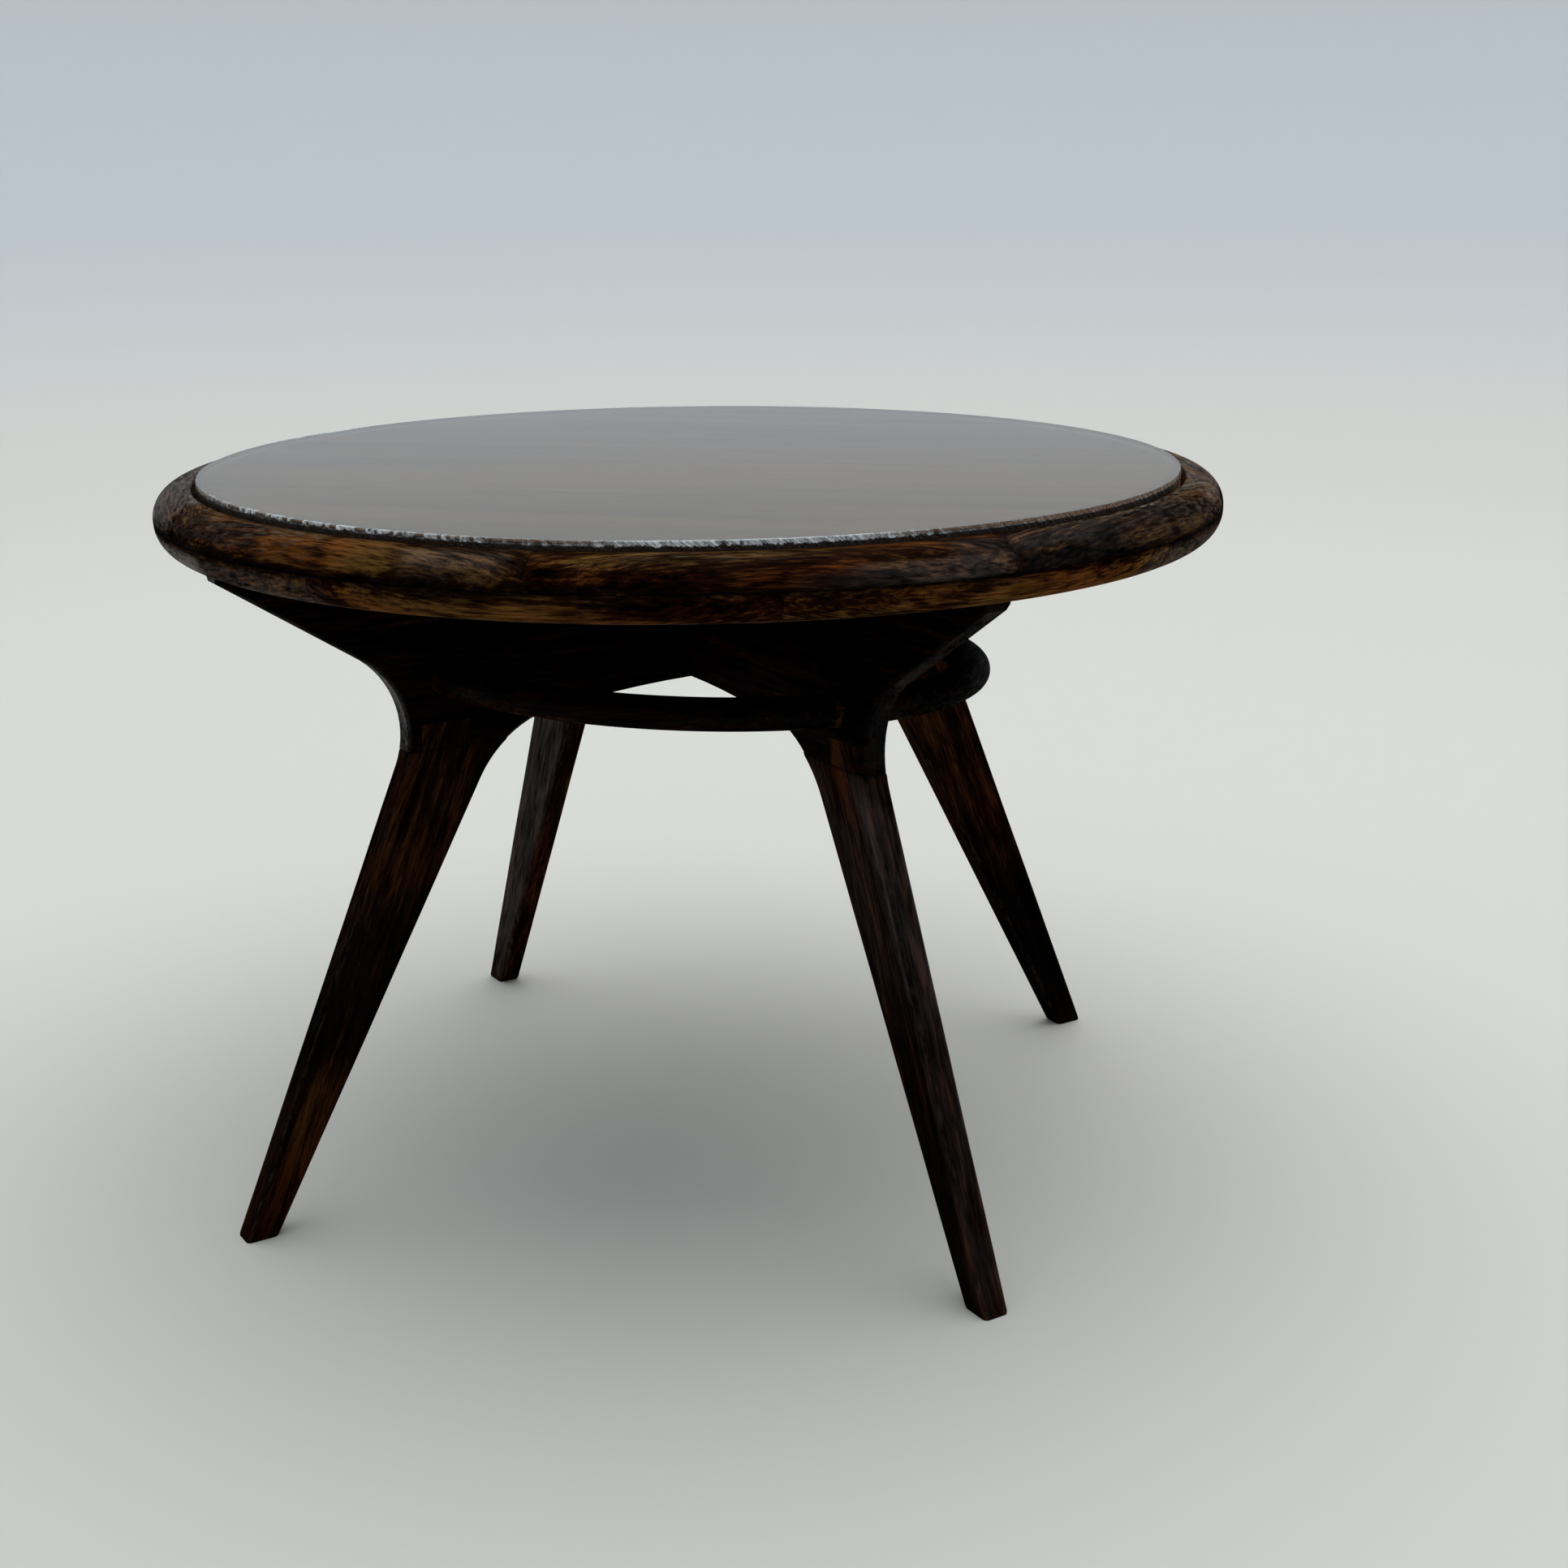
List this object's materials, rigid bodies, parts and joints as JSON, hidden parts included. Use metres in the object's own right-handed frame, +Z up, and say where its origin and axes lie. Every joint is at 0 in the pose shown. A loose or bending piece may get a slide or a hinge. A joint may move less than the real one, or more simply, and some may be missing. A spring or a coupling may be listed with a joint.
{
  "type": "miniature round table",
  "caption": "Miniature round table: segmented walnut-brown rim, loose clear disc top, splayed tapered legs on crossed rails, and a ring stretcher.",
  "frame": {"origin": "on the floor, under the middle of the top", "axes": "+Z up, +X right and +Y back with the legs on the diagonals"},
  "size_m": [0.089, 0.089, 0.0606],
  "materials": {
    "rim_wood": "dark walnut stain, satin",
    "rail_wood": "very dark walnut stain, satin",
    "leg_wood": "very dark walnut stain, satin, soft arrises",
    "panel_wood": "very dark walnut stain, matt",
    "clear_sheet": "clear, polished faces and a sawn edge"
  },
  "bodies": {
    "table": {"top_panel": "panel_wood", "rim_upper_1": "rim_wood", "rim_upper_2": "rim_wood", "rim_upper_3": "rim_wood", "rim_upper_4": "rim_wood", "rim_upper_5": "rim_wood", "rim_upper_6": "rim_wood", "rim_upper_7": "rim_wood", "rim_upper_8": "rim_wood", "rim_lower_1": "rim_wood", "rim_lower_2": "rim_wood", "rim_lower_3": "rim_wood", "rim_lower_4": "rim_wood", "rim_lower_5": "rim_wood", "rim_lower_6": "rim_wood", "rim_lower_7": "rim_wood", "rim_lower_8": "rim_wood", "cross_rail_under": "rail_wood", "cross_rail_over": "rail_wood", "leg_front_right": "leg_wood", "leg_back_right": "leg_wood", "leg_back_left": "leg_wood", "leg_front_left": "leg_wood", "ring_front": "rail_wood", "ring_right": "rail_wood", "ring_back": "rail_wood", "ring_left": "rail_wood"},
    "disc": {"clear_top": "clear_sheet"}
  },
  "joints": [
    {"name": "disc_lift", "type": "slide", "parent": "table", "child": "disc", "axis": [0, 0, 1], "range_m": [0, 0.02]}
  ]
}
